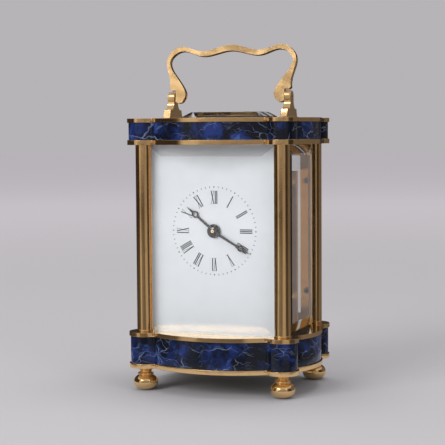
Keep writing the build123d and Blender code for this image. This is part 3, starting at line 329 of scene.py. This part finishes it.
# %% Steel, blued steel and ruby
steel = Finish("steel", metallic=1.0)
lathe_marks = steel.noise(1, 2.0, 0.5, steel.stretched((2500, 9000, 2500)))
steel.feed("Base Color", steel.blend(lathe_marks.fade(0.3, 0.7), (0.62, 0.63, 0.65), (0.50, 0.51, 0.54)))
steel.feed("Roughness", 0.14 + lathe_marks * 0.14)
steel.report()

blued = Finish("blued_steel", metallic=1.0)
blued.feed("Base Color", blued.blend(blued.noise(500), (0.03, 0.05, 0.19), (0.06, 0.10, 0.33)))
blued.feed("Roughness", 0.16 + blued.noise(1200) * 0.14)
blued.report()

ruby = Finish("ruby", ior=1.76, coat_weight=0.5, coat_roughness=0.03)
ruby.feed("Base Color", ruby.blend(ruby.noise(3000), (0.42, 0.01, 0.04), (0.62, 0.03, 0.08)))
ruby.feed("Roughness", 0.06 + ruby.noise(4000) * 0.08)
ruby.report()

# %% [markdown]
# Every piece of the frame takes the finish of its own slot, so a wheel that nobody looks at is as finished
# as the case. The three springs share the steel slot and are then given their blue.

# %% Dress the frame
finish_of_slot = {"polished_brass": brass, "blue_stone": stone, "bevelled_glass": pane_glass,
                  "dial_enamel": enamel, "black_hands": lacquer, "movement_brass": movement_brass,
                  "steel": steel}


def dress(piece, finish):
    piece.data.materials.clear()
    piece.data.materials.append(finish.material)
    return piece


for name, piece in nodes.items():
    dress(piece, finish_of_slot[slot_of_node[name]])
for name in ("mainspring", "hairspring", "click_spring"):
    dress(nodes[name], blued)
print("dressed", len(nodes), "pieces")

# %% [markdown]
# A new piece starts as a bmesh. One helper turns it into an object: it makes the faces point outwards,
# shades them smooth except at real edges, gives the piece its finish and says which moving body it rides
# on.


# %% From a bmesh to a piece
def finished(name, shape, body, finish, replaced=()):
    """Turn a bmesh into a piece that rides on a body, and may stand for nodes of the frame"""
    bmesh.ops.recalc_face_normals(shape, faces=shape.faces)
    mesh = bpy.data.meshes.new(name)
    shape.to_mesh(mesh)
    shape.free()
    mesh.polygons.foreach_set("use_smooth", [True] * len(mesh.polygons))
    mesh.set_sharp_from_angle(angle=radians(40))
    piece = bpy.data.objects.new(name, mesh)
    bpy.context.scene.collection.objects.link(piece)
    dress(piece, finish)
    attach(piece, body)
    if replaced:
        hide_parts(*replaced)
    print(name, "on", body, "has", len(mesh.polygons), "faces")
    return piece


# %% [markdown]
# The frame's edges are perfectly sharp, and no real edge is: polishing rounds it, and the thin line of
# light along it is what the eye reads as metal. A Bevel modifier could do this, but the frame's meshes are
# loose triangles. So we copy a piece, join its triangles, merge the flat areas and bevel every sharp edge.
# Weighted normals keep the flats flat beside the rounded edges.


# %% Softened copies of the frame's pieces
def merged_copy(node):
    """Copy of a node with its triangles joined and its flat areas merged"""
    shape = bmesh.new()
    shape.from_mesh(nodes[node].data)
    bmesh.ops.remove_doubles(shape, verts=shape.verts, dist=0.001 * mm)
    bmesh.ops.dissolve_limit(shape, angle_limit=radians(1.5), verts=shape.verts, edges=shape.edges)
    return shape


def softened(node, width, segments=3, steepest=38.0, edge_finish=None):
    """Bevel every edge steeper than an angle, in its own finish if one is given"""
    shape = merged_copy(node)
    edges = [e for e in shape.edges if len(e.link_faces) == 2 and e.calc_face_angle() > radians(steepest)]
    bmesh.ops.bevel(shape, geom=edges, offset=width * mm, offset_type="OFFSET", segments=segments,
                    profile=0.5, affect="EDGES", material=1 if edge_finish else -1, clamp_overlap=True)
    slot = slot_of_node[node]
    piece = finished(f"{node}_finished", shape, body_of_node[node], finish_of_slot[slot], [node])
    if edge_finish:
        piece.data.materials.append(edge_finish.material)
    weights = piece.modifiers.new("flat stays flat", "WEIGHTED_NORMAL")
    weights.keep_sharp = True


# %% [markdown]
# The case: four brass plates with nicely rounded edges, two stone bands with only a breath of an edge, and
# the round pillars. The radius is what a hand polisher leaves on plates this thick. The panes keep their
# crisp bevels, and only the edge between bevel and flat becomes a narrow ground strip.

# %% Case, handle, door and panes
corners = ("front_left", "front_right", "back_left", "back_right")
for name in ("bottom_plate", "plinth_plate", "cornice_plate", "top_plate"):
    softened(name, 0.28)
for name in ("base_stone", "canopy_stone"):
    softened(name, 0.10, 2)
for corner in corners:
    softened(f"pillar_{corner}", 0.08, 2)
for name in ("handle_bracket_left", "handle_bracket_right"):
    softened(name, 0.22)
softened("handle", 0.38, 4)
softened("handle_pins", 0.12, 2)
softened("door_frame", 0.15, 2)
for name in ("front_glass", "left_glass", "right_glass", "top_glass", "door_glass"):
    softened(name, 0.16, 1, 8.0, arris_glass)

# %% [markdown]
# The feet are turned on a lathe: a flattened ball, a ring, a narrow waist and a collar under the plate. In
# Blender that is a spin: half a profile, turned once about the vertical axis. Only the bends get points,
# and a subdivision surface rounds the ball between them.

# %% Turned feet
foot_profile = [(0.0, 0.0), (1.3, 0.0), (1.45, 0.03), (2.75, 0.48), (3.5, 1.35), (3.7, 2.35), (3.45, 3.3),
                (2.7, 4.05), (2.0, 4.38), (2.0, 4.46), (2.28, 4.52), (2.38, 4.78), (2.26, 5.04), (1.75, 5.12),
                (1.62, 5.4), (1.72, 5.75), (2.3, 6.12), (2.85, 6.3), (2.9, 6.45), (2.9, 6.68), (1.0, 6.7),
                (0.98, 10.0), (0.0, 10.0)]


def turned(profile, steps=32):
    """Spin a profile of (radius, height) points in millimetres about the vertical axis"""
    shape = bmesh.new()
    line = [shape.verts.new((radius * mm, 0, height * mm)) for radius, height in profile]
    for low, high in zip(line, line[1:]):
        shape.edges.new((low, high))
    bmesh.ops.spin(shape, geom=shape.verts[:] + shape.edges[:], axis=(0, 0, 1), cent=(0, 0, 0), angle=2 * pi,
                   steps=steps, use_merge=True)
    bmesh.ops.remove_doubles(shape, verts=shape.verts, dist=0.0001 * mm)
    return shape


def middle_of(node):
    low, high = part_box(node)
    return (low + high) / 2


for corner in corners:
    foot = turned(foot_profile)
    middle = middle_of(f"foot_{corner}")
    bmesh.ops.translate(foot, verts=foot.verts, vec=(middle.x, middle.y, 0))
    piece = finished(f"foot_{corner}_turned", foot, "case", brass, [f"foot_{corner}"])
    rounding = piece.modifiers.new("rounding", "SUBSURF")
    rounding.levels = rounding.render_levels = 1

# %% [markdown]
# The hours are Roman numerals whose feet point at the centre. Numerals like these are drawn with two pens,
# a broad one for strokes that run down to the right and a fine one for those that run up. A font would
# bring someone else's letters, so each stroke is a thin plate of our own, sheared to its slope, and each
# numeral gets a thin line along its head and its foot.

# %% Numerals
dial_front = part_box("dial")[0].y
dial_centre = middle_of("hour_wheel")
print_thick = 0.02
numeral_low, numeral_height = 7.8, 3.7
broad, fine, letter_gap = 0.30, 0.11, 0.17
serif_thick, serif_overhang = 0.06, 0.1
letter_widths = {"I": broad, "V": 0.98, "X": 1.06}


def stroke(shape, x_low, x_high, width, low=0.0, high=numeral_height):
    """A flat slanted stroke in millimetres, x across and z up, on the dial's front"""
    made = bmesh.ops.create_cube(shape, size=1)["verts"]
    slope = (x_high - x_low) / (high - low)
    lean = Matrix(((1, 0, slope, 0), (0, 1, 0, 0), (0, 0, 1, 0), (0, 0, 0, 1)))
    size = Matrix.Diagonal((width, print_thick, high - low, 1))
    place = Matrix.Translation(((x_low + x_high) / 2, 0, (low + high) / 2))
    bmesh.ops.transform(shape, verts=made, matrix=place @ lean @ size)
    return made


def numeral(shape, letters):
    """One numeral, its foot at height 0, centred on x = 0"""
    total = sum(letter_widths[letter] for letter in letters) + letter_gap * (len(letters) - 1)
    x, made = -total / 2, []
    for letter in letters:
        wide = letter_widths[letter]
        if letter == "I":
            made += stroke(shape, x + wide / 2, x + wide / 2, broad)
        elif letter == "V":
            made += stroke(shape, x + wide / 2, x + broad / 2, broad)
            made += stroke(shape, x + wide / 2, x + wide - fine, fine)
        else:
            made += stroke(shape, x + wide - broad / 2, x + broad / 2, broad)
            made += stroke(shape, x + fine, x + wide - fine, fine)
        x += wide + letter_gap
    for low in (0, numeral_height - serif_thick):
        made += stroke(shape, 0, 0, total + serif_overhang, low, low + serif_thick)
    return made


def on_dial(shape, verts, radius, angle):
    """Move flat print out along a clock angle, in millimetres, and onto the dial"""
    out = Matrix.Rotation(angle, 4, "Y") @ Matrix.Translation((0, 0, radius))
    place = Matrix.Translation((dial_centre.x, dial_front - print_thick * mm / 2, dial_centre.z))
    bmesh.ops.transform(shape, verts=verts, matrix=place @ Matrix.Scale(mm, 4) @ out)


figures = bmesh.new()
for hour, letters in enumerate(["XII", "I", "II", "III", "IIII", "V", "VI", "VII", "VIII", "IX", "X", "XI"]):
    on_dial(figures, numeral(figures, letters), numeral_low, radians(30 * hour))
finished("numerals", figures, "case", print_black)

# %% [markdown]
# The minute track is a circle of sixty printed marks: a short dash for a minute and a rounder, heavier dot
# for every fifth. Each is a flat disc, squeezed to its shape, and sits like the numerals a hair in front of
# the dial.

# %% Minute track
track_radius, squeeze = 12.6, 0.75
minute_mark, five_mark = (0.12, 2.2), (0.23, 1.0)
track = bmesh.new()
for minute in range(60):
    radius, stretch = minute_mark if minute % 5 else five_mark
    mark = bmesh.ops.create_cone(track, cap_ends=True, segments=12, radius1=radius, radius2=radius,
                                 depth=print_thick)["verts"]
    bmesh.ops.rotate(track, verts=mark, cent=(0, 0, 0), matrix=Matrix.Rotation(pi / 2, 3, "X"))
    bmesh.ops.scale(track, verts=mark, vec=(squeeze, 1, stretch))
    on_dial(track, mark, track_radius, radians(6 * minute))
finished("minute_track", track, "case", print_black)

# %% [markdown]
# The hands are stamped from thin steel, pierced with a ring and lacquered black. Their copies get rounded
# edges. A stepped collet covers the hub, and the bright end of the arbor shows in its middle. Both are
# turned, as the feet are, and then laid over so that they face the viewer.

# %% Hands and collet
softened("hour_hand", 0.08, 2)
softened("minute_hand", 0.08, 2)
hub_front, collet_front = -14.46, -14.66
collet_profile = [(0.55, 0.0), (1.2, 0.0), (1.24, 0.06), (1.16, 0.13), (0.78, 0.16), (0.72, 0.2),
                  (0.55, 0.22), (0.55, 0.0)]
arbor_profile = [(0.0, 0.0), (0.26, 0.0), (0.26, 0.12), (0.2, 0.18), (0.0, 0.2)]


def facing_front(shape, foot_y):
    """Turn a spun shape so that its top faces the viewer, with its foot at depth y in millimetres"""
    bmesh.ops.rotate(shape, verts=shape.verts, cent=(0, 0, 0), matrix=Matrix.Rotation(pi / 2, 3, "X"))
    bmesh.ops.translate(shape, verts=shape.verts, vec=(dial_centre.x, foot_y * mm, dial_centre.z))
    return shape


collet = facing_front(turned(collet_profile), hub_front)
finished("hand_collet", collet, "minute_work", lacquer)
arbor_end = facing_front(turned(arbor_profile, 20), collet_front)
finished("arbor_end", arbor_end, "minute_work", steel)

# %% [markdown]
# Screws get a real slot: a low disc with two half moons on it, so the gap between them is open as a saw cut
# is. A boolean could cut the slot, but it leaves ragged faces on things this small.

# %% Slotted screws
turns = random.Random(7)


def prism(shape, outline, low, high):
    """Upright solid from an outline of (x, y) points in millimetres"""
    face = shape.faces.new([shape.verts.new((x * mm, y * mm, low * mm)) for x, y in outline])
    grown = bmesh.ops.extrude_face_region(shape, geom=[face])["geom"]
    top = [v for v in grown if isinstance(v, bmesh.types.BMVert)]
    bmesh.ops.translate(shape, verts=top, vec=(0, 0, (high - low) * mm))
    return list(face.verts) + top


def round_outline(radius, points=24):
    return [(radius * cos(2 * pi * k / points), radius * sin(2 * pi * k / points)) for k in range(points)]


def half_moon(radius, slot, side, points=12):
    """Outline of what a slot leaves of a disc on one side, 1 or -1"""
    reach = acos(slot / 2 / radius)
    sweep = [reach * (2 * k / points - 1) for k in range(points + 1)]
    return [(side * radius * cos(a), side * radius * sin(a)) for a in sweep]


def screw(shape, radius, thick, length, place, into):
    """Slotted screw whose head stands on a place and whose shank points into the work"""
    shank, slot, slot_floor = radius * 0.5, radius * 0.3, thick * 0.55
    made = prism(shape, round_outline(radius), 0, slot_floor)
    made += prism(shape, round_outline(shank), -length, 0)
    for side in (-1, 1):
        made += prism(shape, half_moon(radius, slot, side), slot_floor, thick)
    spin = Matrix.Rotation(turns.uniform(0, pi), 4, "Z")
    aim = Vector(into).to_track_quat("-Z", "Y").to_matrix().to_4x4()
    bmesh.ops.transform(shape, verts=made, matrix=Matrix.Translation(place) @ aim @ spin)


print("screws can be made")

# %% [markdown]
# The frame's screws are plain, so slotted ones stand in for them, shank and all, at the same places. A node
# holds a whole group of screws, so we first find the box of each separate solid, and sort the boxes by
# place: the slots are turned at random, as a hand leaves them, and must fall the same way each time the
# lesson runs.


# %% Screws in their places
def solids_of(node):
    """Lowest and highest corner of each separate solid of a node, in order of place"""
    shape = merged_copy(node)
    left, boxes = set(shape.verts), []
    while left:
        island, queue = set(), [left.pop()]
        while queue:
            vert = queue.pop()
            island.add(vert)
            for edge in vert.link_edges:
                other = edge.other_vert(vert)
                if other in left:
                    left.remove(other)
                    queue.append(other)
        boxes.append([Vector([pick(v.co[k] for v in island) for k in range(3)]) for pick in (min, max)])
    shape.free()
    return sorted(boxes, key=lambda box: [round(v / mm, 1) for v in box[0]])


for node, axis, into, head, finish in (("movement_screws", 1, (0, -1, 0), 0.5, blued),
                                       ("platform_screws", 2, (0, 0, -1), 0.4, blued),
                                       ("case_screws", 2, (0, 0, 1), 0.9, brass)):
    screws = bmesh.new()
    for low, high in solids_of(node):
        radius = (high.x - low.x) / 2 / mm
        length = (high[axis] - low[axis]) / mm - head
        under_head = (low + high) / 2
        under_head[axis] = high[axis] - head * mm if into[axis] < 0 else low[axis] + head * mm
        screw(screws, radius, head, length, under_head, into)
    finished(f"{node}_slotted", screws, body_of_node[node], finish, [node])

# %% [markdown]
# The escapement's pivots run in ruby jewels, pressed into the bridge and the cock from above. Each is a
# small polished ring with a hollow for a drop of oil, and the balance has a domed cap jewel. The wheels'
# holes in the back plate have oil sinks: here a thin turned ring round each pivot, because its rim is what
# catches the light.


# %% Jewels and oil sinks
def turned_set(name, places, finish, profile, turn=Matrix()):
    """One turned shape, copied to several places, as one piece on the case"""
    shape = turned(profile, 24)
    bmesh.ops.transform(shape, verts=shape.verts, matrix=turn)
    pattern = shape.verts[:] + shape.edges[:] + shape.faces[:]
    copies = [shape.verts[:]]
    for _ in places[1:]:
        copied = bmesh.ops.duplicate(shape, geom=pattern)["geom"]
        copies.append([v for v in copied if isinstance(v, bmesh.types.BMVert)])
    for verts, place in zip(copies, places):
        bmesh.ops.translate(shape, verts=verts, vec=place)
    finished(name, shape, "case", finish)


jewel_profile = [(0.17, 0.0), (0.62, 0.0), (0.66, 0.03), (0.62, 0.07), (0.5, 0.08), (0.3, 0.05), (0.17, 0.03),
                 (0.17, 0.0)]
cap_profile = [(0.0, 0.0), (0.6, 0.0), (0.64, 0.04), (0.5, 0.12), (0.25, 0.17), (0.0, 0.18)]
sink_profile = [(0.38, 0.0), (0.85, 0.0), (0.88, 0.03), (0.8, 0.06), (0.5, 0.03), (0.38, 0.03), (0.38, 0.0)]

escape_to_lever = 2.6 * mm
bridge_top, cock_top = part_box("escapement_bridge")[1].z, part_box("balance_cock")[1].z
escape, balance = middle_of("escape_wheel"), middle_of("balance_wheel")
bridge_places = [Vector((x, escape.y, bridge_top)) for x in (escape.x, escape.x - escape_to_lever)]
turned_set("bridge_jewels", bridge_places, ruby, jewel_profile)
turned_set("balance_cap_jewel", [Vector((balance.x, balance.y, cock_top))], ruby, cap_profile)

plate_back = max(v.co.y for v in nodes["intermediate_wheel"].data.vertices)
wheels = [middle_of(f"{name}_wheel") for name in ("intermediate", "third", "contrate", "center")]
wheel_places = [Vector((wheel.x, plate_back, wheel.z)) for wheel in wheels]
facing_back = Matrix.Rotation(-pi / 2, 4, "X")
turned_set("oil_sinks", wheel_places, movement_brass, sink_profile, facing_back)

# %% [markdown]
# The stage begins with one wide pale floor. A real sheet of paper gets less light far from the lamps and
# would fall away to grey, with a hard line where it ends. Ours grows lighter with distance instead, until
# it meets the tone of the background. It has no gloss, or it would mirror what stands round it.


# %% Floor
def stage_piece(name, shape, finish):
    """Turn a bmesh into a part of the stage, which isn't part of the clock"""
    mesh = bpy.data.meshes.new(name)
    shape.to_mesh(mesh)
    shape.free()
    piece = dress(bpy.data.objects.new(name, mesh), finish)
    bpy.context.scene.collection.objects.link(piece)
    print(name, "staged")
    return piece


paper = Finish("floor", roughness=0.9, specular_ior_level=0.0)
distance = paper.node("ShaderNodeVectorMath", {"operation": "LENGTH"}, {0: paper.place}, "Value")
near_tone = paper.blend(paper.noise(6), (0.52, 0.51, 0.52), (0.54, 0.53, 0.54))
paper.feed("Base Color", paper.blend(distance.fade(0.15, 1.1), near_tone, (0.89, 0.865, 0.89)))
floor = bmesh.new()
bmesh.ops.create_grid(floor, x_segments=1, y_segments=1, size=4)
stage_piece("floor", floor, paper)

# %% [markdown]
# Polished metal shows whatever stands round it, so a product photographer puts cards just outside the
# picture: pale ones draw bright strips into the brass, and dark ones give it depth. Ours are one ring, a
# strip of floor with an upright wall at its rim. It is dark, with paler arcs at the bearings where the
# pillars need a bright strip, and paler high up in front, where the handle finds its light. Only mirrored
# rays see it.

# %% Cards for the metal to mirror
surround = Finish("surround_card", roughness=0.9)
across, behind, height = [surround.coordinate(axis) for axis in range(3)]
bearing = across.math("ARCTAN2", across, 0 - behind) * (180 / pi)


def arc(low, high, softness=4):
    """One between two bearings from straight in front, in degrees, and nought outside"""
    return bearing.fade(low - softness, low + softness) - bearing.fade(high - softness, high + softness)


tone = arc(-44, -24) * 0.27 + arc(-24, 24) * 0.05 + arc(24, 62) * 0.30 + arc(100, 165) * 0.12
tone = tone + arc(-46, 24) * height.fade(0.030, 0.052) * 0.34
surround.feed("Base Color", surround.blend(tone, (0.04, 0.03, 0.025), (1.0, 0.94, 0.87)))
ring = turned([(70, 0.6), (600, 0.6), (600, 450)], 96)
cards = stage_piece("surround_cards", ring, surround)
cards.visible_camera = cards.visible_diffuse = cards.visible_transmission = cards.visible_shadow = False

# %% [markdown]
# Three soft lamps: a large key from the upper left, a weak fill from the right and one from above. Large
# lamps give the soft shadows of a light tent. The one above would show as a white sheet in the flat top
# plate, so mirrored rays and rays through glass don't see it.


# %% Lamps
def soft_light(name, place, size, watts, mirrored=True):
    """A rectangular lamp that is aimed at the middle of the clock"""
    lamp = bpy.data.lights.new(name, "AREA")
    lamp.shape, lamp.energy = "RECTANGLE", watts
    lamp.size, lamp.size_y = size
    holder = bpy.data.objects.new(name, lamp)
    aim = (Vector(place) - Vector((0, 0, 0.05))).to_track_quat("Z", "Y").to_matrix().to_4x4()
    holder.matrix_world = Matrix.Translation(place) @ aim
    holder.visible_glossy = holder.visible_transmission = mirrored
    bpy.context.scene.collection.objects.link(holder)
    print(name, "lamp,", watts, "W")


soft_light("key", (-0.34, -0.74, 0.42), (0.45, 0.45), 4.5)
soft_light("fill", (0.65, -0.45, 0.35), (0.25, 0.5), 0.9)
soft_light("top", (0.0, 0.1, 0.85), (0.6, 0.4), 2.2, mirrored=False)

# %% [markdown]
# The world lights the clock evenly from all sides. The camera sees it a little darker than it shines, so
# that the background meets the far edge of the floor without a line.

# %% World
lighting_tone, seen_tone = (0.53, 0.515, 0.535), (0.47, 0.455, 0.472)
world = bpy.data.worlds.new("surround")
world.use_nodes = True
sky = NodeBench(world.node_tree)
seen = sky.node("ShaderNodeLightPath", output="Is Camera Ray")
sky_tone = sky.blend(seen, lighting_tone, seen_tone)
sky.tree.links.new(sky_tone.socket, sky.tree.nodes["Background"].inputs["Color"])
bpy.context.scene.world = world
print("stage set")
